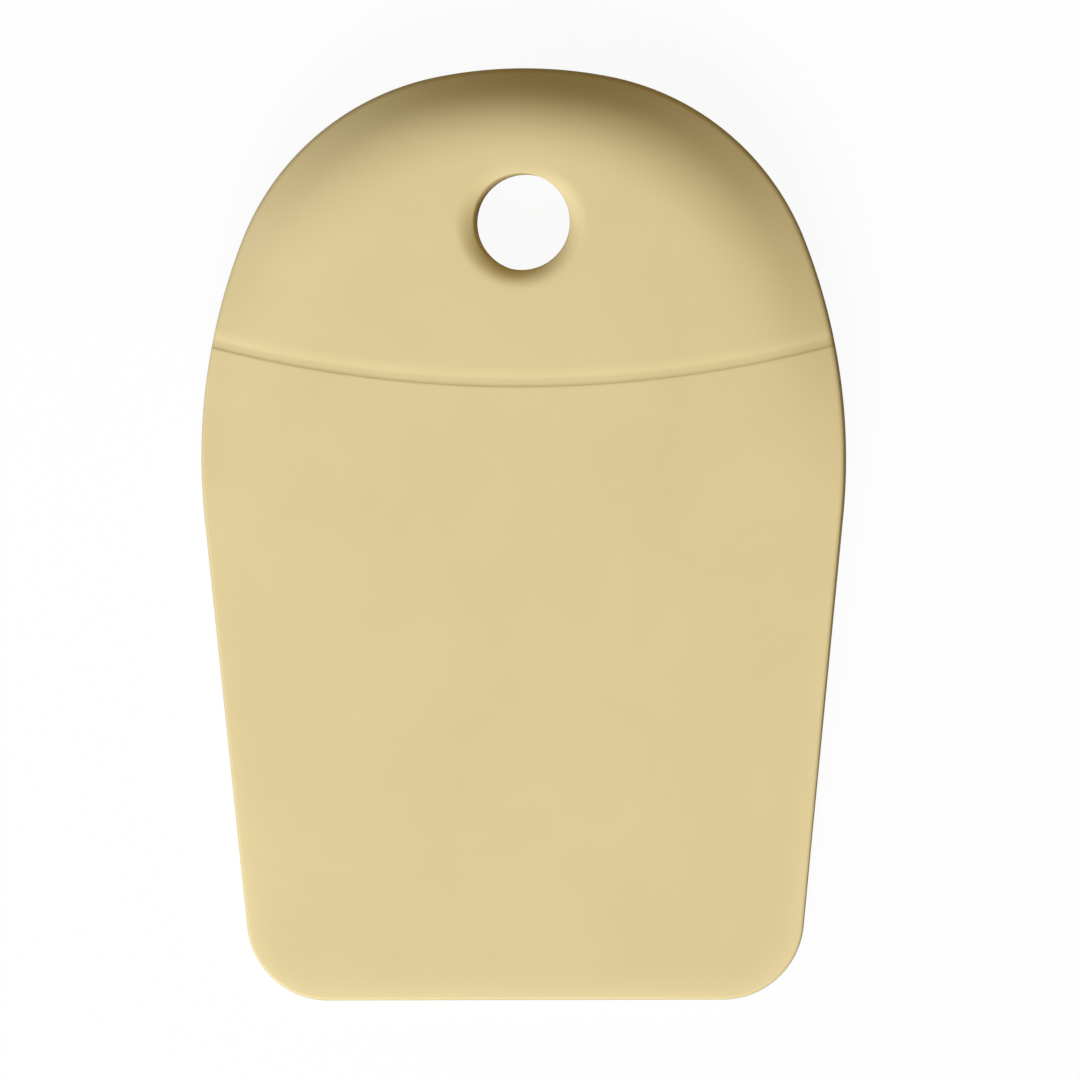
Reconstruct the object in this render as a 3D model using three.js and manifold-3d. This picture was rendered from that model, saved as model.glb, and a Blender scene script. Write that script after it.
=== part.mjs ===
// Silicone plating wedge: a thick grip with a hanging hole, a blade that thins to a straight edge, and
// a stiff nylon plate moulded into both. Millimetres, +Z up. The tool lies on its flat back, edge towards -Y.
import * as THREE from 'three';
import { mergeVertices } from 'three/addons/utils/BufferGeometryUtils.js';
import Module from 'manifold-3d';

// Outline from the front: tangent arcs run from the crown round to straight flanks that lean in to the edge
const LENGTH = 95;
const CROWN_RADIUS = 45.3;
const CROWN_SWEEP = 11.25;
const SHOULDER_RADIUS = 26.8;
const SHOULDER_SWEEP = 57.5;
const SIDE_RADIUS = 61.5;
const FLANK_LEAN = 5.6;
const CORNER_RADIUS = 8.3;

// Thickness: the flat front and back part from each other at a constant angle, from the edge to the grip
const EDGE_THICKNESS = 1.7;
const GRIP_THICKNESS = 14;

// Hanging hole through the grip. On both faces its rim rolls in, more broadly and steeply below the hole than
// above it, and is steepest where it meets the bore.
const HOLE_RADIUS = 4.85;
const HOLE_HEIGHT = 79.3;
const HOLE_RIM_BELOW = 2.2;
const HOLE_RIM_ABOVE = 1.3;
const HOLE_SLOPE_BELOW = 1.7;
const HOLE_SLOPE_ABOVE = 0.6;
const HOLE_RIM_CURVE = 2.3;

// Both faces fall away towards the crown, by a straight bevel at the rim and then a curve that runs out on the
// flat. The fall fades out below the seam and is narrowest at the top of the crown.
const CROWN_FALL = 6.4;
const FALL_POWER = 1.45;
const FALL_CURVE = 2.6;
const FALL_FADES_AT = 52;
const FALL_WIDTH = 11.5;
const FALL_WIDTH_AT_CROWN = 9.7;
const BEVEL_WIDTH = 2.9;
const BEVEL_WIDTH_AT_CROWN = 1.75;
const CROWN_NARROWING = 14;

// The rim itself has a small round, wider towards the crown and a little shallower than wide
const ROUND_AT_EDGE = 0.3;
const ROUND_AT_CROWN = 0.5;
const ROUND_DEPTH_RATIO = 0.75;

// Seam between grip and blade: an arc that bows towards the edge, with a shallow groove along the grip's side
const SEAM_HEIGHT = 62.5;
const SEAM_RADIUS = 124.5;
const GROOVE_WIDTH = 1.1;
const GROOVE_DEPTH = 0.1;
const GROOVE_DEPTH_AT_RIM = 0.05;

// Stiffener plate in the middle of the thickness, and the fit that separates neighbouring pieces
const FIT = 0.3;
const CORE_THICKNESS = 1.6;
const CORE_MARGIN = 5.5;
const CORE_FOOT_HEIGHT = 36;
const CORE_CORNER_RADIUS = 6;
const CORE_EYE_RADIUS = 7.3;
const LOCK_HOLE_RADIUS = 3;
const LOCK_HOLES = [[-16, 48], [0, 48], [16, 48], [-18, 74], [18, 74]];

const SILICONE_COLOUR = '#ddca97';
const NYLON_COLOUR = '#e6dfcd';

// Facets along each stretch of the outline, across the rim, and round the holes and the seam's circle
const CROWN_STEPS = 4;
const SHOULDER_STEPS = 14;
const SIDE_STEPS = 10;
const FLANK_STEPS = 8;
const CORNER_STEPS = 8;
const ROUND_STEPS = 4;
const FALL_STEPS = 6;
const HOLE_RIM_STEPS = 5;
const HOLE_SEGMENTS = 40;
const LOCK_HOLE_STEPS = 12;
const SEAM_SEGMENTS = 160;

// The facets of the fall end this far in from the straight edge, inside the round of the corners
const FACE_INSET_AT_EDGE = 6.5;

// Cutters reach this far past the faces that they cut
const CUTTER_LENGTH = 60;
const RIM_CUTTER_REACH = 3;
const RIM_OVERCUT = 0.05;

const FACE_SLOPE = (GRIP_THICKNESS - EDGE_THICKNESS) / 2 / HOLE_HEIGHT;
const FACE_ANGLE = Math.atan(FACE_SLOPE);
const { degToRad, lerp } = THREE.MathUtils;

const wasm = await Module();
wasm.setup();

// A closed geometry as a solid that can be cut and joined
function solid(geometry) {
  const bare = geometry.clone();
  bare.deleteAttribute('normal');
  bare.deleteAttribute('uv');
  const merged = mergeVertices(bare);
  const corners = merged.index.array;
  const triVerts = [];
  for (let i = 0; i < corners.length; i += 3) {
    const [a, b, c] = corners.slice(i, i + 3);
    if (a !== b && b !== c && c !== a) triVerts.push(a, b, c);
  }
  return new wasm.Manifold(new wasm.Mesh({
    numProp: 3,
    vertProperties: new Float32Array(merged.attributes.position.array),
    triVerts: new Uint32Array(triVerts),
  }));
}

// A finished solid as a named mesh
function piece(name, body, material) {
  const { vertProperties, triVerts } = body.getMesh();
  const geometry = new THREE.BufferGeometry();
  geometry.setAttribute('position', new THREE.BufferAttribute(new Float32Array(vertProperties), 3));
  geometry.setIndex(new THREE.BufferAttribute(new Uint32Array(triVerts), 1));
  geometry.computeVertexNormals();
  const mesh = new THREE.Mesh(geometry, material);
  mesh.name = name;
  return mesh;
}

// A solid through loops of equal length, each anticlockwise from above, from the top one to the lowest
function loft(loops) {
  const count = loops[0].length;
  const index = [];
  for (let k = 0; k < loops.length - 1; k++) {
    for (let i = 0; i < count; i++) {
      const here = k * count + i;
      const next = k * count + (i + 1) % count;
      index.push(here, here + count, next + count);
      index.push(here, next + count, next);
    }
  }
  const flat = (loop) => loop.map(({ x, y }) => new THREE.Vector2(x, y));
  const cap = (loop) => THREE.ShapeUtils.triangulateShape(flat(loop), []);
  const lowest = (loops.length - 1) * count;
  for (const [a, b, c] of cap(loops[0])) index.push(a, b, c);
  for (const [a, b, c] of cap(loops.at(-1))) index.push(lowest + c, lowest + b, lowest + a);
  const geometry = new THREE.BufferGeometry().setFromPoints(loops.flat());
  geometry.setIndex(index);
  return solid(geometry);
}

// Height of the flat front above the middle plane, before it falls away
function faceHeight(up) {
  return EDGE_THICKNESS / 2 + FACE_SLOPE * up;
}

// Stations round an outline drawn in by `inset`, anticlockwise from the crown, each with its inward direction
function outline(inset, foot, cornerRadius) {
  const half = [];
  let across = 0;
  let up = LENGTH - inset;
  let heading = 0;
  const station = (x, y, angle) => half.push({
    at: new THREE.Vector2(x, y),
    inward: new THREE.Vector2(-Math.sin(angle), -Math.cos(angle)),
  });
  const arc = (radius, sweep, steps) => {
    const end = heading + sweep;
    for (let i = 1; i <= steps; i++) {
      const angle = lerp(heading, end, i / steps);
      const x = across + radius * (Math.sin(angle) - Math.sin(heading));
      const y = up - radius * (Math.cos(heading) - Math.cos(angle));
      station(x, y, angle);
    }
    across = half.at(-1).at.x;
    up = half.at(-1).at.y;
    heading = end;
  };
  const line = (run, steps) => {
    for (let i = 1; i <= steps; i++) {
      const length = run * i / steps;
      station(across + length * Math.cos(heading), up - length * Math.sin(heading), heading);
    }
    across = half.at(-1).at.x;
    up = half.at(-1).at.y;
  };
  const lean = degToRad(FLANK_LEAN);
  const flankHeading = Math.PI / 2 + lean;
  station(across, up, heading);
  arc(CROWN_RADIUS - inset, degToRad(CROWN_SWEEP), CROWN_STEPS);
  arc(SHOULDER_RADIUS - inset, degToRad(SHOULDER_SWEEP), SHOULDER_STEPS);
  arc(SIDE_RADIUS - inset, flankHeading - heading, SIDE_STEPS);
  const cornerHeight = foot + cornerRadius * (1 - Math.sin(lean));
  line((up - cornerHeight) / Math.cos(lean), FLANK_STEPS);
  arc(cornerRadius, Math.PI - heading, CORNER_STEPS);
  const mirrored = half.slice(1).map(({ at, inward }) => ({
    at: new THREE.Vector2(-at.x, at.y),
    inward: new THREE.Vector2(-inward.x, inward.y),
  }));
  return [...mirrored, ...half.reverse()];
}

// How the front leaves the rim at one station: distances in from the outline, and depths below the flat face
function rimProfile(up) {
  const rise = Math.max(0, (up - FALL_FADES_AT) / (LENGTH - FALL_FADES_AT));
  const width = lerp(FALL_WIDTH, FALL_WIDTH_AT_CROWN, rise ** CROWN_NARROWING);
  const bevel = lerp(BEVEL_WIDTH, BEVEL_WIDTH_AT_CROWN, rise ** CROWN_NARROWING);
  const curve = (width - bevel) / FALL_CURVE;
  const steepness = CROWN_FALL * rise ** FALL_POWER / (bevel + curve);
  const fall = (inset) => {
    if (inset < bevel) return steepness * (bevel + curve - inset);
    return steepness * curve * ((width - inset) / (width - bevel)) ** FALL_CURVE;
  };
  const roundWidth = lerp(ROUND_AT_EDGE, ROUND_AT_CROWN, up / LENGTH);
  const roundDepth = ROUND_DEPTH_RATIO * roundWidth;
  const profile = [];
  for (let i = 0; i <= ROUND_STEPS; i++) {
    const angle = Math.PI / 2 * i / ROUND_STEPS;
    const inset = roundWidth * (1 - Math.cos(angle));
    profile.push({ inset, below: fall(inset) + roundDepth * (1 - Math.sin(angle)) });
  }
  const reach = Math.min(width, lerp(FACE_INSET_AT_EDGE, FALL_WIDTH, up / FALL_FADES_AT));
  for (let i = 0; i <= FALL_STEPS; i++) {
    const inset = lerp(bevel, reach, i / FALL_STEPS);
    profile.push({ inset, below: fall(inset) });
  }
  return profile;
}

// The whole wedge, front and back alike, thinner by `rimSkin` all round and by `faceSkin` on each face
function wedge(rimSkin, faceSkin) {
  const stations = outline(0, 0, CORNER_RADIUS);
  const profiles = stations.map(({ at }) => rimProfile(at.y));
  const front = profiles[0].map((_, k) => stations.map(({ at, inward }, i) => {
    const { inset, below } = profiles[i][k];
    const point = at.clone().addScaledVector(inward, Math.max(inset, rimSkin));
    return new THREE.Vector3(point.x, point.y, faceHeight(point.y) - below - faceSkin);
  }));
  const back = front.map((loop) => loop.map(({ x, y, z }) => new THREE.Vector3(x, y, -z)));
  return loft([...front.reverse(), ...back]);
}

// Everything on the grip's side of the seam's arc, starting `above` it
function gripSide(above) {
  const radius = SEAM_RADIUS - above;
  const disc = new THREE.CylinderGeometry(radius, radius, CUTTER_LENGTH, SEAM_SEGMENTS);
  disc.rotateX(Math.PI / 2);
  disc.translate(0, SEAM_HEIGHT + SEAM_RADIUS, 0);
  return solid(disc);
}

// The hanging hole: a straight bore that opens out to a rolled rim on each face
function hangingHole() {
  const bore = new THREE.CylinderGeometry(HOLE_RADIUS, HOLE_RADIUS, CUTTER_LENGTH, HOLE_SEGMENTS);
  bore.rotateX(Math.PI / 2);
  bore.translate(0, HOLE_HEIGHT, 0);
  const loop = (share, lift) => {
    const points = [];
    for (let i = 0; i < HOLE_SEGMENTS; i++) {
      const angle = 2 * Math.PI * i / HOLE_SEGMENTS;
      const above = (1 + Math.sin(angle)) / 2;
      const width = lerp(HOLE_RIM_BELOW, HOLE_RIM_ABOVE, above);
      const slope = lerp(HOLE_SLOPE_BELOW, HOLE_SLOPE_ABOVE, above);
      const radius = HOLE_RADIUS + share * width;
      const up = HOLE_HEIGHT + radius * Math.sin(angle);
      const dip = slope * width / HOLE_RIM_CURVE * (1 - share) ** HOLE_RIM_CURVE;
      points.push(new THREE.Vector3(radius * Math.cos(angle), up, faceHeight(up) - dip + lift));
    }
    return points;
  };
  const loops = [loop(1, RIM_CUTTER_REACH), loop(1, RIM_OVERCUT)];
  for (let i = HOLE_RIM_STEPS - 1; i >= 0; i--) loops.push(loop(i / HOLE_RIM_STEPS, 0));
  const rim = loft(loops);
  return solid(bore).add(rim).add(rim.mirror([0, 0, 1]));
}

// The stiffener plate, or the pocket for it when `fit` is the clearance left all round
function stiffener(fit) {
  const points = outline(CORE_MARGIN - fit, CORE_FOOT_HEIGHT - fit, CORE_CORNER_RADIUS + fit);
  const shape = new THREE.Shape(points.map(({ at }) => at));
  const drill = (x, y, radius) => {
    shape.holes.push(new THREE.Path().absarc(x, y, radius - fit, 0, 2 * Math.PI));
  };
  drill(0, HOLE_HEIGHT, CORE_EYE_RADIUS);
  for (const [x, y] of LOCK_HOLES) drill(x, y, LOCK_HOLE_RADIUS);
  const depth = CORE_THICKNESS + 2 * fit;
  const extrusion = { depth, bevelEnabled: false, curveSegments: LOCK_HOLE_STEPS };
  const plate = new THREE.ExtrudeGeometry(shape, extrusion);
  plate.translate(0, 0, -depth / 2);
  return solid(plate);
}

const silicone = new THREE.MeshStandardMaterial({ color: SILICONE_COLOUR, roughness: 0.55, metalness: 0 });
const nylon = new THREE.MeshStandardMaterial({ color: NYLON_COLOUR, roughness: 0.6, metalness: 0 });

const whole = wedge(0, 0);
const grooveFloor = wedge(GROOVE_DEPTH_AT_RIM, GROOVE_DEPTH);
const pocket = stiffener(FIT);
const neck = grooveFloor.intersect(gripSide(FIT));
const gripBody = whole.intersect(gripSide(GROOVE_WIDTH)).add(neck).subtract(hangingHole()).subtract(pocket);
const bladeBody = whole.subtract(gripSide(0)).subtract(pocket);

// The mouldings share a middle plane. Tilting it by the face angle lays the back flat on the ground.
const moulding = new THREE.Group();
moulding.add(
  piece('silicone_grip', gripBody, silicone),
  piece('silicone_blade', bladeBody, silicone),
  piece('stiffener_core', stiffener(0), nylon),
);
moulding.rotation.x = FACE_ANGLE;
const tool = new THREE.Group();
tool.add(moulding);
const extent = new THREE.Box3().setFromObject(moulding, true);
const middle = extent.getCenter(new THREE.Vector3());
moulding.position.set(-middle.x, -middle.y, -extent.min.z);

export default tool;
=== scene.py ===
import bmesh
import bpy
import math
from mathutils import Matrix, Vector
from mathutils.kdtree import KDTree


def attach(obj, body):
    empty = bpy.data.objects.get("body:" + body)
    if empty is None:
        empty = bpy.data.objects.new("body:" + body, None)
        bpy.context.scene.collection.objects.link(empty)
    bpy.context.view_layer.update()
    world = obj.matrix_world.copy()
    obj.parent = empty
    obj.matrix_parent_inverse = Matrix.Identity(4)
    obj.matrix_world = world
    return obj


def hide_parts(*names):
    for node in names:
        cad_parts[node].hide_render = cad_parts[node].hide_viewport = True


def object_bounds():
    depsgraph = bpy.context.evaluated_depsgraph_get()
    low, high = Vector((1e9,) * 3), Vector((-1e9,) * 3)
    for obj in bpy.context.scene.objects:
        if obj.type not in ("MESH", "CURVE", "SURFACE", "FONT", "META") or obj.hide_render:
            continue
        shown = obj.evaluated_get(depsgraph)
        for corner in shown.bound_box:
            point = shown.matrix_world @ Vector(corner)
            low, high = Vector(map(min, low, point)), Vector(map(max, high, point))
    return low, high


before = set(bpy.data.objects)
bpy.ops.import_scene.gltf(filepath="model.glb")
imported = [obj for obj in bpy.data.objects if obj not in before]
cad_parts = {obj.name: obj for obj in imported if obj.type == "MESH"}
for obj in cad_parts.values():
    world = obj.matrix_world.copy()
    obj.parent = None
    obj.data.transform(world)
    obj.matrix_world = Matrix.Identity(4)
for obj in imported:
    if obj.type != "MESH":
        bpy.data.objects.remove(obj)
cad_low, cad_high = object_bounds()

# Stiffener core: a flat plate of natural nylon, injection moulded, with holes that the silicone fills.
# It lies in the mould before the silicone is poured and ties the grip to the blade. Nothing of it shows
# from outside, so the plate keeps its plain shape and gets only the nylon's finish.
MM = 0.001
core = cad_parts["stiffener_core"]


def add_node(tree, kind, **inputs):
    """A shader node with its unlinked inputs set by name."""
    node = tree.nodes.new(kind)
    for name, value in inputs.items():
        node.inputs[name.replace("_", " ")].default_value = value
    return node


def moulded_surface_group():
    """What a mould leaves on a surface: fine grain, broad unevenness and soft mottling."""
    group = bpy.data.node_groups.new("moulded_surface", "ShaderNodeTree")
    sockets = group.interface
    for name, default in (("Grain Scale", 4000.0), ("Mottle Scale", 90.0)):
        sockets.new_socket(name, in_out="INPUT", socket_type="NodeSocketFloat").default_value = default
    for name in ("Grain", "Unevenness", "Mottle"):
        sockets.new_socket(name, in_out="OUTPUT", socket_type="NodeSocketFloat")
    given = group.nodes.new("NodeGroupInput")
    result = group.nodes.new("NodeGroupOutput")
    place = group.nodes.new("ShaderNodeTexCoord")
    grain = add_node(group, "ShaderNodeTexNoise", Detail=3.0, Roughness=0.6)
    uneven = add_node(group, "ShaderNodeTexNoise", Scale=45.0, Detail=1.0, Roughness=0.4)
    mottle = add_node(group, "ShaderNodeTexNoise", Detail=4.0, Roughness=0.55)
    for texture in (grain, uneven, mottle):
        group.links.new(place.outputs["Object"], texture.inputs["Vector"])
    group.links.new(given.outputs["Grain Scale"], grain.inputs["Scale"])
    group.links.new(given.outputs["Mottle Scale"], mottle.inputs["Scale"])
    group.links.new(grain.outputs["Fac"], result.inputs["Grain"])
    group.links.new(uneven.outputs["Fac"], result.inputs["Unevenness"])
    group.links.new(mottle.outputs["Fac"], result.inputs["Mottle"])
    return group


moulded_surface = moulded_surface_group()


def new_material(name):
    """An empty node material and its Principled shader."""
    material = bpy.data.materials.new(name)
    material.use_nodes = True
    return material, material.node_tree, material.node_tree.nodes["Principled BSDF"]


NOISE_LOW = 0.3
NOISE_HIGH = 0.7


def ramp(tree, source, low, high):
    """A colour that runs from `low` to `high` as the source goes over its middle range."""
    node = tree.nodes.new("ShaderNodeValToRGB")
    node.color_ramp.elements[0].position = NOISE_LOW
    node.color_ramp.elements[1].position = NOISE_HIGH
    node.color_ramp.elements[0].color = (*low, 1.0)
    node.color_ramp.elements[1].color = (*high, 1.0)
    tree.links.new(source, node.inputs["Fac"])
    return node.outputs["Color"]


def spread(tree, source, low, high):
    """A value that runs from `low` to `high` as the source goes over its middle range."""
    limits = {"From_Min": NOISE_LOW, "From_Max": NOISE_HIGH, "To_Min": low, "To_Max": high}
    node = add_node(tree, "ShaderNodeMapRange", **limits)
    tree.links.new(source, node.inputs["Value"])
    return node.outputs["Result"]


NYLON_PALE = (0.79, 0.74, 0.61)
NYLON_DEEP = (0.72, 0.66, 0.52)
NYLON_ROUGHNESS = (0.5, 0.62)
NYLON_GRAIN_SCALE = 2500.0
NYLON_GRAIN_DEPTH = 0.05 * MM
nylon, tree, shader = new_material("natural_nylon")
surface = tree.nodes.new("ShaderNodeGroup")
surface.node_tree = moulded_surface
surface.inputs["Grain Scale"].default_value = NYLON_GRAIN_SCALE
tree.links.new(ramp(tree, surface.outputs["Mottle"], NYLON_DEEP, NYLON_PALE), shader.inputs["Base Color"])
tree.links.new(spread(tree, surface.outputs["Mottle"], *NYLON_ROUGHNESS), shader.inputs["Roughness"])
dents = add_node(tree, "ShaderNodeBump", Strength=0.15, Distance=NYLON_GRAIN_DEPTH)
tree.links.new(surface.outputs["Grain"], dents.inputs["Height"])
tree.links.new(dents.outputs["Normal"], shader.inputs["Normal"])
core.material_slots[0].material = nylon

# Silicone grip: the thick upper moulding, held between finger and thumb, with a rounded hole to hang it by.
# Its front and back are flat, lean apart and fall away to a rounded crown. It is cast round the core in a
# two-part mould, so a fine parting line runs round its wall. The seam is a soft dip along its lower edge.
LENGTH = 95 * MM
CROWN_RADIUS = 45.3 * MM
CROWN_SWEEP = math.radians(11.25)
SHOULDER_RADIUS = 26.8 * MM
SHOULDER_SWEEP = math.radians(57.5)
SIDE_RADIUS = 61.5 * MM
FLANK_LEAN = math.radians(5.6)
CORNER_RADIUS = 8.3 * MM

EDGE_THICKNESS = 1.7 * MM
# A hair under the solid's 14 mm, so that the smooth crest stays inside the frame's box.
GRIP_THICKNESS = 13.97 * MM
HOLE_RADIUS = 4.91 * MM
HOLE_HEIGHT = 79.3 * MM
HOLE_RIM_BELOW = 2.1 * MM
HOLE_RIM_ABOVE = 1.2 * MM
HOLE_SLOPE_BELOW = 1.55
HOLE_SLOPE_ABOVE = 0.25
HOLE_RIM_CURVE = 2.3
HOLE_RIM_EASING = 3.5
HOLE_LIP = 0.1 * MM
FACE_SLOPE = (GRIP_THICKNESS - EDGE_THICKNESS) / 2 / HOLE_HEIGHT
FACE_ANGLE = math.atan(FACE_SLOPE)

CROWN_FALL = 6.4 * MM
FALL_POWER = 1.45
FALL_FADES_AT = 52 * MM
FALL_CURVE = 2.6
FALL_WIDTH = 11.5 * MM
FALL_WIDTH_AT_CROWN = 9.7 * MM
BEVEL_WIDTH = 2.9 * MM
BEVEL_WIDTH_AT_CROWN = 1.75 * MM
CROWN_NARROWING = 14
ROUND_AT_EDGE = 0.3 * MM
ROUND_AT_CROWN = 0.5 * MM
ROUND_DEPTH_RATIO = 0.75
PARTING_INSET = 0.005 * MM
PARTING_LIP = 0.05 * MM
PARTING_HEIGHT = 0.05 * MM
WALL_FOOT = 2 * PARTING_HEIGHT

SEAM_HEIGHT = 62.5 * MM
SEAM_RADIUS = 124.5 * MM
SEAM_CENTRE = Vector((0, SEAM_HEIGHT + SEAM_RADIUS))
SEAM_GAP = 0.004 * MM
DIP_WIDTH = 2.1 * MM
DIP_DEPTH = 0.16 * MM
DIP_CURVE = 2
DIP_FLOOR_WIDTH = 0.85 * MM
DIP_FLOOR_RISE = 0.06 * MM
DIP_FLOOR_CURVE = 2
DIP_STEP_WIDTH = 0.28 * MM
DIP_STEP_RISE = 0.055 * MM
DIP_STEP_CURVE = 1.5
CORE_FIT = 0.3 * MM
MERGE_DISTANCE = 0.001 * MM
CREASE_ANGLE = math.radians(35)


def outline_stretches():
    """Length and bend of each stretch of the half outline, from the crown's middle to the edge's middle."""
    side_sweep = math.pi / 2 + FLANK_LEAN - CROWN_SWEEP - SHOULDER_SWEEP
    corner_sweep = math.pi / 2 - FLANK_LEAN
    arcs = [(CROWN_RADIUS, CROWN_SWEEP), (SHOULDER_RADIUS, SHOULDER_SWEEP), (SIDE_RADIUS, side_sweep)]
    stretches = [(radius * sweep, 1 / radius) for radius, sweep in arcs]
    _, up, _ = walk(stretches, sum(length for length, _ in stretches))
    flank = (up - CORNER_RADIUS * (1 - math.sin(FLANK_LEAN))) / math.cos(FLANK_LEAN)
    stretches += [(flank, 0), (CORNER_RADIUS * corner_sweep, 1 / CORNER_RADIUS)]
    across, _, _ = walk(stretches, sum(length for length, _ in stretches))
    return stretches + [(across, 0)]


def walk(stretches, run):
    """The place after `run` along the half outline, and the heading turned from +X towards -Y."""
    across, up, heading = 0.0, LENGTH, 0.0
    for length, bend in stretches:
        step = min(run, length)
        turned = heading + bend * step
        if bend:
            across += (math.sin(turned) - math.sin(heading)) / bend
            up -= (math.cos(heading) - math.cos(turned)) / bend
        else:
            across += step * math.cos(heading)
            up -= step * math.sin(heading)
        heading = turned
        run -= step
        if run <= 0:
            break
    return across, up, heading


OUTLINE = outline_stretches()
HALF_RUN = sum(length for length, _ in OUTLINE)


def rim_place(run, inset=0.0):
    """A point `inset` inside the outline, at `run` from the crown's middle. A negative run is on the left."""
    across, up, heading = walk(OUTLINE, abs(run))
    across -= inset * math.sin(heading)
    up -= inset * math.cos(heading)
    return Vector((math.copysign(across, run), up))


RIM_SAMPLES = 1200
rim_tree = KDTree(2 * RIM_SAMPLES)
for i in range(2 * RIM_SAMPLES):
    rim_tree.insert(rim_place((i / RIM_SAMPLES - 1) * HALF_RUN).to_3d(), i)
rim_tree.balance()


def nearest_rim(place):
    """The nearest point of the outline as its height above the edge, and how far inside it the place is."""
    _, i, _ = rim_tree.find(place.to_3d())
    run = (i / RIM_SAMPLES - 1) * HALF_RUN
    across, up, heading = walk(OUTLINE, abs(run))
    side = math.copysign(1, run)
    off = Vector((side * place.x - across, place.y - up))
    inset = -off.x * math.sin(heading) - off.y * math.cos(heading)
    along = off.x * math.cos(heading) - off.y * math.sin(heading)
    return up - along * math.sin(heading), max(inset, 0.0)


def mix(low, high, share):
    return low + (high - low) * share


def fall_at(up, inset):
    """How far the face has fallen: by a straight bevel at the rim, then a curve that ends flat."""
    rise = max(0.0, (up - FALL_FADES_AT) / (LENGTH - FALL_FADES_AT))
    width = mix(FALL_WIDTH, FALL_WIDTH_AT_CROWN, rise ** CROWN_NARROWING)
    bevel = mix(BEVEL_WIDTH, BEVEL_WIDTH_AT_CROWN, rise ** CROWN_NARROWING)
    curve = (width - bevel) / FALL_CURVE
    if inset < bevel:
        left = curve + bevel - inset
    else:
        left = curve * max(0.0, (width - inset) / (width - bevel)) ** FALL_CURVE
    return CROWN_FALL * rise ** FALL_POWER * left / (curve + bevel)


def round_width_at(up):
    return mix(ROUND_AT_EDGE, ROUND_AT_CROWN, up / LENGTH)


def quarter_round(distance, width, depth):
    """How far a surface has dropped at a distance in from a rounded edge."""
    if distance >= width:
        return 0.0
    return depth * (1 - math.sqrt(1 - (1 - distance / width) ** 2))


def face_height(place):
    """Height of the front face above the middle plane, with its fall to the crown and its rounded rim."""
    up, inset = nearest_rim(place)
    width = round_width_at(up)
    drop = quarter_round(max(inset - PARTING_LIP, 0.0), width, ROUND_DEPTH_RATIO * width)
    drop += fall_at(up, inset)
    return EDGE_THICKNESS / 2 + FACE_SLOPE * place.y - drop


def seam_distance(place):
    """How far a place lies on the grip's side of the seam."""
    return SEAM_RADIUS - (place - SEAM_CENTRE).length


def hole_rim(off):
    """Width and steepness of the hole's rim in a direction from its centre, most towards the blade."""
    above = ((1 + off.normalized().y) / 2) ** HOLE_RIM_EASING
    return mix(HOLE_RIM_BELOW, HOLE_RIM_ABOVE, above), mix(HOLE_SLOPE_BELOW, HOLE_SLOPE_ABOVE, above)


def seam_dip(near):
    """Depth of the dip at a distance from the seam: a slope down to a floor that rises and ends in a step."""
    if near > DIP_FLOOR_WIDTH:
        return DIP_DEPTH * max(0.0, (DIP_WIDTH - near) / (DIP_WIDTH - DIP_FLOOR_WIDTH)) ** DIP_CURVE
    rise = DIP_FLOOR_RISE * (1 - near / DIP_FLOOR_WIDTH) ** DIP_FLOOR_CURVE
    step = DIP_STEP_RISE * max(0.0, 1 - near / DIP_STEP_WIDTH) ** DIP_STEP_CURVE
    return DIP_DEPTH - rise - step


def grip_height(place):
    """Height of the grip's front above the middle plane, with the hole's rim and the seam's dip."""
    off = place - Vector((0, HOLE_HEIGHT))
    width, slope = hole_rim(off)
    within = max(0.0, 1 - max(off.length - HOLE_RADIUS, 0.0) / width)
    height = face_height(place) - slope * width / HOLE_RIM_CURVE * within ** HOLE_RIM_CURVE
    return height - seam_dip(max(seam_distance(place) - SEAM_GAP, 0.0))


HALVINGS = 40
CROWDING = 0.6


def seam_end(rim_inset, seam_inset):
    """The run at which an outline drawn in by `rim_inset` meets the seam's arc, moved to the grip's side."""
    low, high = 0.0, HALF_RUN - OUTLINE[-1][0]
    for _ in range(HALVINGS):
        middle = (low + high) / 2
        place = rim_place(middle, rim_inset(middle))
        if seam_distance(place) > seam_inset:
            low = middle
        else:
            high = middle
    return low


def crowd(share):
    """A share from -1 to 1 with its steps crowded towards both ends."""
    return (1 - CROWDING) * share + CROWDING * math.sin(share * math.pi / 2)


def seam_places(start, end, steps):
    """Points along the seam's arc between two points on it, without the two."""
    radius = (start - SEAM_CENTRE).length
    first = math.atan2(*(start - SEAM_CENTRE))
    last = math.atan2(*(end - SEAM_CENTRE))
    first, last = (angle % (2 * math.pi) for angle in (first, last))
    places = []
    for i in range(1, steps):
        angle = mix(first, last, (crowd(2 * i / steps - 1) + 1) / 2)
        places.append(SEAM_CENTRE + radius * Vector((math.sin(angle), math.cos(angle))))
    return places


GRIP_RIM_STEPS = 380
GRIP_SEAM_STEPS = 180


def grip_ring(rim_inset, seam_inset):
    """A loop inside the grip's outline: over the crown from left to right, then back along the seam."""
    end = seam_end(rim_inset, seam_inset)
    places = []
    for i in range(GRIP_RIM_STEPS + 1):
        run = end * crowd(2 * i / GRIP_RIM_STEPS - 1)
        places.append(rim_place(run, rim_inset(run)))
    return places + seam_places(places[-1], places[0], GRIP_SEAM_STEPS)


def rim_up(run):
    return walk(OUTLINE, abs(run))[1]


def start_ring(name, places):
    """A closed loop of vertices as a new object in edit mode, each vertex marked with its station."""
    bpy.ops.object.select_all(action="DESELECT")
    bpy.ops.mesh.primitive_circle_add(vertices=len(places), radius=LENGTH / 2)
    piece = bpy.context.object
    piece.name = piece.data.name = name
    stations = piece.data.attributes.new("station", "INT", "POINT")
    stations.data.foreach_set("value", range(len(places)))
    piece.data.vertices.foreach_set("co", [value for place in places for value in place])
    bpy.ops.object.mode_set(mode="EDIT")
    bpy.ops.mesh.select_all(action="SELECT")
    return piece


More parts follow.
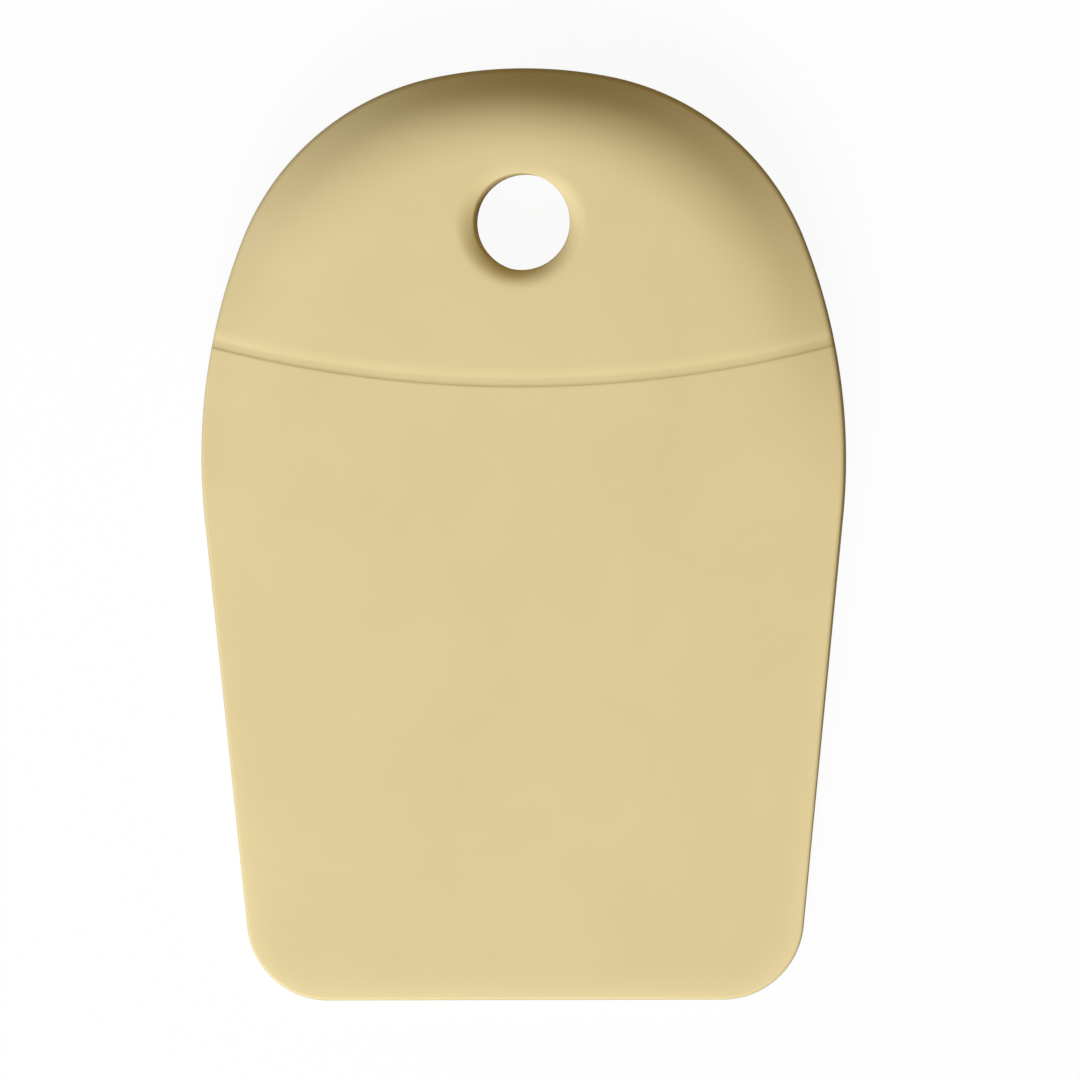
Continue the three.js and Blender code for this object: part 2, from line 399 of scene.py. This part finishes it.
def pull_ring(piece, places):
    """Extrude the loop that is selected and lay the new one on the given places."""
    bpy.ops.mesh.extrude_edges_move()
    shape = bmesh.from_edit_mesh(piece.data)
    station = shape.verts.layers.int["station"]
    for vertex in shape.verts:
        if vertex.select:
            vertex.co = places[vertex[station]]
    bmesh.update_edit_mesh(piece.data)


def raised(places, height):
    """Places on the middle plane lifted to a height that is a number or a function of the place."""
    if callable(height):
        return [Vector((place.x, place.y, height(place))) for place in places]
    return [Vector((place.x, place.y, height)) for place in places]


def shares(steps):
    return [i / steps for i in range(1, steps + 1)]


def hole_ring(share, toward):
    """A loop round the hanging hole, part of the way up its rim, each vertex in line with its station."""
    centre = Vector((0, HOLE_HEIGHT))
    places = []
    for place in toward:
        width, _ = hole_rim(place - centre)
        radius = HOLE_RADIUS + share * width
        places.append(centre + (place - centre).normalized() * radius)
    return places


ROUND_STEPS = 16
FALL_STEPS = 12
HOLE_RIM_STEPS = 10
FACE_STEPS = 8
GRIP_FACE_INSET = 9.2 * MM
SEAM_REACH = 6 * MM
# Where the silicone's colour is painted lighter near its thin lower edges, a painted glow for light shining
# through.
GLOW_UP_TO = 50 * MM
GLOW_IN_TO = 3.5 * MM
GLOW_CURVE = 2
DIP_CROWDING = 1.5


def parting_inset(run):
    return PARTING_INSET


def wall_inset(run):
    return PARTING_LIP


def round_inset(share):
    """Inset of a loop that is part of the way up the rim's round, as a function of the run."""
    return lambda run: PARTING_LIP + round_width_at(rim_up(run)) * (1 - math.cos(share * math.pi / 2))


def fall_inset(share, face_inset):
    """Inset of a loop that is part of the way from the rim's round to the face, a function of the height."""
    return lambda run: mix(PARTING_LIP + round_width_at(rim_up(run)), face_inset(rim_up(run)), share)


def grip_face_inset(up):
    return GRIP_FACE_INSET


def painted_glow_share(place):
    """How much painted glow the colour gets for light from below shining through: most at the wiping edge,
    none in the thick of the tool.
    """
    up, inset = nearest_rim(place)
    return max(0.0, 1 - up / GLOW_UP_TO) * max(0.0, 1 - inset / GLOW_IN_TO) ** GLOW_CURVE


def finish_half(piece):
    """Mirror the front half to the back, close it, and lay the moulding on its flat back."""
    bpy.ops.object.mode_set(mode="OBJECT")
    # Mark where the colour gets the painted glow that stands in for light shining through the thin edges.
    edge_glow = piece.data.attributes.new("painted_edge_glow", "FLOAT", "POINT")
    edge_glow.data.foreach_set("value", [painted_glow_share(vertex.co.to_2d()) for vertex in piece.data.vertices])
    mirror = piece.modifiers.new("back", "MIRROR")
    mirror.use_axis = (False, False, True)
    mirror.merge_threshold = MERGE_DISTANCE
    bpy.ops.object.modifier_apply(modifier=mirror.name)
    bpy.ops.object.mode_set(mode="EDIT")
    bpy.ops.mesh.select_all(action="SELECT")
    bpy.ops.mesh.normals_make_consistent(inside=False)
    bpy.ops.object.mode_set(mode="OBJECT")
    tip_wall = EDGE_THICKNESS / 2 - ROUND_DEPTH_RATIO * ROUND_AT_EDGE
    piece.rotation_euler.x = FACE_ANGLE
    piece.location.y = cad_low.y + tip_wall * math.sin(FACE_ANGLE)
    piece.location.z = cad_low.z + EDGE_THICKNESS / 2 * math.cos(FACE_ANGLE)
    bpy.ops.object.transform_apply(location=True, rotation=True, scale=True)


def cut_core_pocket(piece):
    """Hollow the moulding where the core lies, with the same fit all round it."""
    bpy.ops.object.select_all(action="DESELECT")
    pocket = bpy.data.objects.new("core_pocket", core.data.copy())
    bpy.context.collection.objects.link(pocket)
    bpy.context.view_layer.objects.active = pocket
    bpy.ops.object.mode_set(mode="EDIT")
    bpy.ops.mesh.select_all(action="SELECT")
    bpy.ops.mesh.remove_doubles(threshold=MERGE_DISTANCE)
    bpy.ops.transform.shrink_fatten(value=CORE_FIT, use_even_offset=True)
    bpy.ops.object.mode_set(mode="OBJECT")
    bpy.context.view_layer.objects.active = piece
    cut = piece.modifiers.new("pocket", "BOOLEAN")
    cut.operation = "DIFFERENCE"
    cut.solver = "EXACT"
    cut.object = pocket
    bpy.ops.object.modifier_apply(modifier=cut.name)
    bpy.data.objects.remove(pocket)
    piece.select_set(True)
    bpy.ops.object.shade_smooth_by_angle(angle=CREASE_ANGLE)


wall = grip_ring(wall_inset, SEAM_GAP)
grip = start_ring("grip", raised(hole_ring(0.0, wall), 0.0))
pull_ring(grip, raised(hole_ring(0.0, wall), lambda place: grip_height(place) - HOLE_LIP))
for share in [0.0] + shares(HOLE_RIM_STEPS):
    pull_ring(grip, raised(hole_ring(share, wall), grip_height))
hole_mouth = hole_ring(1.0, wall)
face_loop = grip_ring(fall_inset(1.0, grip_face_inset), SEAM_REACH)
for share in shares(FACE_STEPS):
    between = [mouth.lerp(place, share) for mouth, place in zip(hole_mouth, face_loop)]
    pull_ring(grip, raised(between, grip_height))
for share in reversed([0.0] + shares(FALL_STEPS)[:-1]):
    loop = grip_ring(fall_inset(share, grip_face_inset), SEAM_GAP + mix(DIP_WIDTH, SEAM_REACH, share))
    pull_ring(grip, raised(loop, grip_height))
for share in reversed([0.0] + shares(ROUND_STEPS)[:-1]):
    loop = grip_ring(round_inset(share), SEAM_GAP + DIP_WIDTH * share ** DIP_CROWDING)
    pull_ring(grip, raised(loop, grip_height))
pull_ring(grip, raised(wall, WALL_FOOT))
pull_ring(grip, raised(wall, PARTING_HEIGHT))
pull_ring(grip, raised(grip_ring(parting_inset, SEAM_GAP), 0.0))
finish_half(grip)
cut_core_pocket(grip)

SILICONE_PALE = (0.735, 0.602, 0.318)
SILICONE_DEEP = (0.708, 0.576, 0.298)
# Painted glow: the paler colour of the thin lower edges, standing in for light shining through them.
SILICONE_PAINTED_GLOW = (0.81, 0.67, 0.36)
SILICONE_ROUGHNESS = (0.8, 0.88)
SILICONE_IOR = 1.41
SILICONE_SPECULAR = 0.04
SILICONE_GRAIN_DEPTH = 0.02 * MM
SILICONE_WAVE_DEPTH = 0.1 * MM
silicone, tree, shader = new_material("satin_silicone")
surface = tree.nodes.new("ShaderNodeGroup")
surface.node_tree = moulded_surface
# Painted glow: the colour mixes towards the paler one near the thin edges, standing in for light from below
# shining through.
edge_glow = tree.nodes.new("ShaderNodeAttribute")
edge_glow.attribute_name = "painted_edge_glow"
painted_glow_mix = tree.nodes.new("ShaderNodeMix")
painted_glow_mix.data_type = "RGBA"
tree.links.new(edge_glow.outputs["Fac"], painted_glow_mix.inputs["Factor"])
tree.links.new(ramp(tree, surface.outputs["Mottle"], SILICONE_DEEP, SILICONE_PALE), painted_glow_mix.inputs["A"])
painted_glow_mix.inputs["B"].default_value = (*SILICONE_PAINTED_GLOW, 1.0)
tree.links.new(painted_glow_mix.outputs["Result"], shader.inputs["Base Color"])
tree.links.new(spread(tree, surface.outputs["Mottle"], *SILICONE_ROUGHNESS), shader.inputs["Roughness"])
shader.inputs["IOR"].default_value = SILICONE_IOR
shader.inputs["Specular IOR Level"].default_value = SILICONE_SPECULAR
dents = add_node(tree, "ShaderNodeBump", Strength=0.1, Distance=SILICONE_GRAIN_DEPTH)
tree.links.new(surface.outputs["Grain"], dents.inputs["Height"])
waves = add_node(tree, "ShaderNodeBump", Strength=0.3, Distance=SILICONE_WAVE_DEPTH)
tree.links.new(surface.outputs["Unevenness"], waves.inputs["Height"])
tree.links.new(dents.outputs["Normal"], waves.inputs["Normal"])
tree.links.new(waves.outputs["Normal"], shader.inputs["Normal"])
grip.data.materials.append(silicone)
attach(grip, "root")
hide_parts("silicone_grip")

# Silicone blade: the lower moulding, cast on to the core below the seam. It thins evenly from the seam to a
# straight, slightly rounded edge that wipes the plate. Its flanks lean in and its corners are round. The
# seam's crisp side is the blade's own top edge.
SEAM_ROUND = 0.3 * MM
SEAM_ROUND_DEPTH = 0.06 * MM
FACE_INSET_AT_EDGE = 6.5 * MM
BLADE_RIM_STEPS = 800
BLADE_SEAM_STEPS = 180


def blade_height(place):
    """Height of the blade's front above the middle plane, with the small round along the seam."""
    return face_height(place) - quarter_round(max(-seam_distance(place), 0.0), SEAM_ROUND, SEAM_ROUND_DEPTH)


def blade_face_inset(up):
    """Where the blade's face is flat: past the fall at the seam, inside the corners' round below it."""
    return min(FALL_WIDTH, mix(FACE_INSET_AT_EDGE, FALL_WIDTH, up / FALL_FADES_AT))


def blade_ring(rim_inset, seam_inset):
    """A loop inside the blade's outline: from the seam's right end round the edge, and along the seam."""
    start = seam_end(rim_inset, -seam_inset)
    places = []
    for i in range(BLADE_RIM_STEPS + 1):
        run = HALF_RUN + (HALF_RUN - start) * crowd(2 * i / BLADE_RIM_STEPS - 1)
        if run > HALF_RUN:
            run -= 2 * HALF_RUN
        places.append(rim_place(run, rim_inset(run)))
    return places + seam_places(places[-1], places[0], BLADE_SEAM_STEPS)


blade = start_ring("blade", raised(blade_ring(parting_inset, 0.0), 0.0))
pull_ring(blade, raised(blade_ring(wall_inset, 0.0), PARTING_HEIGHT))
pull_ring(blade, raised(blade_ring(wall_inset, 0.0), WALL_FOOT))
for share in [0.0] + shares(ROUND_STEPS):
    loop = blade_ring(round_inset(share), SEAM_ROUND * (1 - math.cos(share * math.pi / 2)))
    pull_ring(blade, raised(loop, blade_height))
for share in shares(FALL_STEPS):
    loop = blade_ring(fall_inset(share, blade_face_inset), mix(SEAM_ROUND, SEAM_REACH, share))
    pull_ring(blade, raised(loop, blade_height))
bpy.ops.mesh.edge_face_add()
finish_half(blade)
cut_core_pocket(blade)
blade.data.materials.append(silicone)
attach(blade, "root")
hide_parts("silicone_blade")

# Studio: a white paper floor that the tool lies on, a large soft light from the front, a small one from the
# left and a dim warm surround. The camera looks down along the hole through a very long lens, turned a little
# to the side as in the photograph.
PHOTO_SIZE = 1080
PHOTO_CROWN_ROW = 68.65
PHOTO_EDGE_ROW = 1000.6
PHOTO_MIDDLE_COLUMN = 525.6
CAMERA_LENS = 1000
CAMERA_TURN = math.radians(2)
pixel = LENGTH / (PHOTO_EDGE_ROW - PHOTO_CROWN_ROW)
aim_across = (PHOTO_SIZE / 2 - PHOTO_MIDDLE_COLUMN) * pixel
aim_up = (PHOTO_EDGE_ROW - PHOTO_SIZE / 2) * pixel

bpy.ops.object.camera_add()
camera = bpy.context.object
camera.data.lens = CAMERA_LENS
distance = PHOTO_SIZE * pixel * CAMERA_LENS / camera.data.sensor_width
camera.rotation_euler = (FACE_ANGLE, CAMERA_TURN, 0)
aim = Vector((aim_across, aim_up, distance))
aim.rotate(camera.rotation_euler)
camera.location = aim + Vector((0, cad_low.y, EDGE_THICKNESS / 2))
bpy.context.scene.camera = camera

FLOOR_SIZE = 6
FLOOR_CLEARANCE = 0.1 * MM
PAPER_ROUGHNESS = 0.9
bpy.ops.mesh.primitive_plane_add(size=FLOOR_SIZE)
floor = bpy.context.object
floor.name = "studio_floor"
floor.location.z = cad_low.z - FLOOR_CLEARANCE
paper, tree, shader = new_material("white_paper")
shader.inputs["Roughness"].default_value = PAPER_ROUGHNESS
floor.data.materials.append(paper)


def rays_that_see_white(tree):
    """1 for rays that go straight to the camera or by way of a gloss, 0 for light that falls on the tool."""
    path = tree.nodes.new("ShaderNodeLightPath")
    total = None
    for name in ("Is Camera Ray", "Is Glossy Ray", "Is Transmission Ray"):
        if total is None:
            total = path.outputs[name]
            continue
        either = tree.nodes.new("ShaderNodeMath")
        either.operation = "MAXIMUM"
        tree.links.new(total, either.inputs[0])
        tree.links.new(path.outputs[name], either.inputs[1])
        total = either.outputs[0]
    return total


FLOOR_SEEN = (0.95, 0.95, 0.95, 1.0)
FLOOR_BOUNCE = (0.15, 0.15, 0.15, 1.0)
FLOOR_GLOW = 0.94
seen = rays_that_see_white(tree)
tone = tree.nodes.new("ShaderNodeMix")
tone.data_type = "RGBA"
tone.inputs["A"].default_value = FLOOR_BOUNCE
tone.inputs["B"].default_value = FLOOR_SEEN
tree.links.new(seen, tone.inputs["Factor"])
tree.links.new(tone.outputs["Result"], shader.inputs["Base Color"])
glow = add_node(tree, "ShaderNodeEmission", Strength=1.0)
glow_share = tree.nodes.new("ShaderNodeMath")
glow_share.operation = "MULTIPLY"
glow_share.inputs[1].default_value = FLOOR_GLOW
tree.links.new(seen, glow_share.inputs[0])
either = tree.nodes.new("ShaderNodeMixShader")
tree.links.new(glow_share.outputs[0], either.inputs["Fac"])
tree.links.new(shader.outputs["BSDF"], either.inputs[1])
tree.links.new(glow.outputs["Emission"], either.inputs[2])
tree.links.new(either.outputs["Shader"], tree.nodes["Material Output"].inputs["Surface"])

SURROUND_COLOUR = (0.23, 0.172, 0.065, 1.0)
world = bpy.data.worlds.new("studio_surround")
world.use_nodes = True
bpy.context.scene.world = world
tree = world.node_tree
dim = tree.nodes["Background"]
dim.inputs["Color"].default_value = SURROUND_COLOUR
white = add_node(tree, "ShaderNodeBackground", Color=(1.0, 1.0, 1.0, 1.0))
either = tree.nodes.new("ShaderNodeMixShader")
tree.links.new(rays_that_see_white(tree), either.inputs["Fac"])
tree.links.new(dim.outputs["Background"], either.inputs[1])
tree.links.new(white.outputs["Background"], either.inputs[2])
tree.links.new(either.outputs["Shader"], tree.nodes["World Output"].inputs["Surface"])


def soft_light(name, turn, height, distance, size, power, colour):
    """A square soft light aimed at the tool, turned from the edge's side and raised above the floor."""
    across = math.cos(height) * math.sin(turn)
    along = -math.cos(height) * math.cos(turn)
    place = distance * Vector((across, along, math.sin(height)))
    bpy.ops.object.light_add(type="AREA", location=place)
    light = bpy.context.object
    light.name = name
    light.data.size = size
    light.data.energy = power
    light.data.color = colour
    light.rotation_euler = (-place).to_track_quat("-Z", "Y").to_euler()
    light.visible_camera = False


FRONT_TURN = math.radians(-6)
FRONT_HEIGHT = math.radians(48)
FRONT_DISTANCE = 3.0
FRONT_SIZE = 1.2
FRONT_POWER = 83.5
FRONT_COLOUR = (0.859, 0.9185, 1.0)
soft_light("front_light", FRONT_TURN, FRONT_HEIGHT, FRONT_DISTANCE, FRONT_SIZE, FRONT_POWER, FRONT_COLOUR)

LEFT_TURN = math.radians(-76.5)
LEFT_HEIGHT = math.radians(23.4)
LEFT_DISTANCE = 0.36
LEFT_SIZE = 0.18
LEFT_POWER = 0.63
LEFT_COLOUR = (0.683, 0.762, 1.0)
soft_light("left_light", LEFT_TURN, LEFT_HEIGHT, LEFT_DISTANCE, LEFT_SIZE, LEFT_POWER, LEFT_COLOUR)

bpy.context.scene.view_settings.view_transform = "Standard"
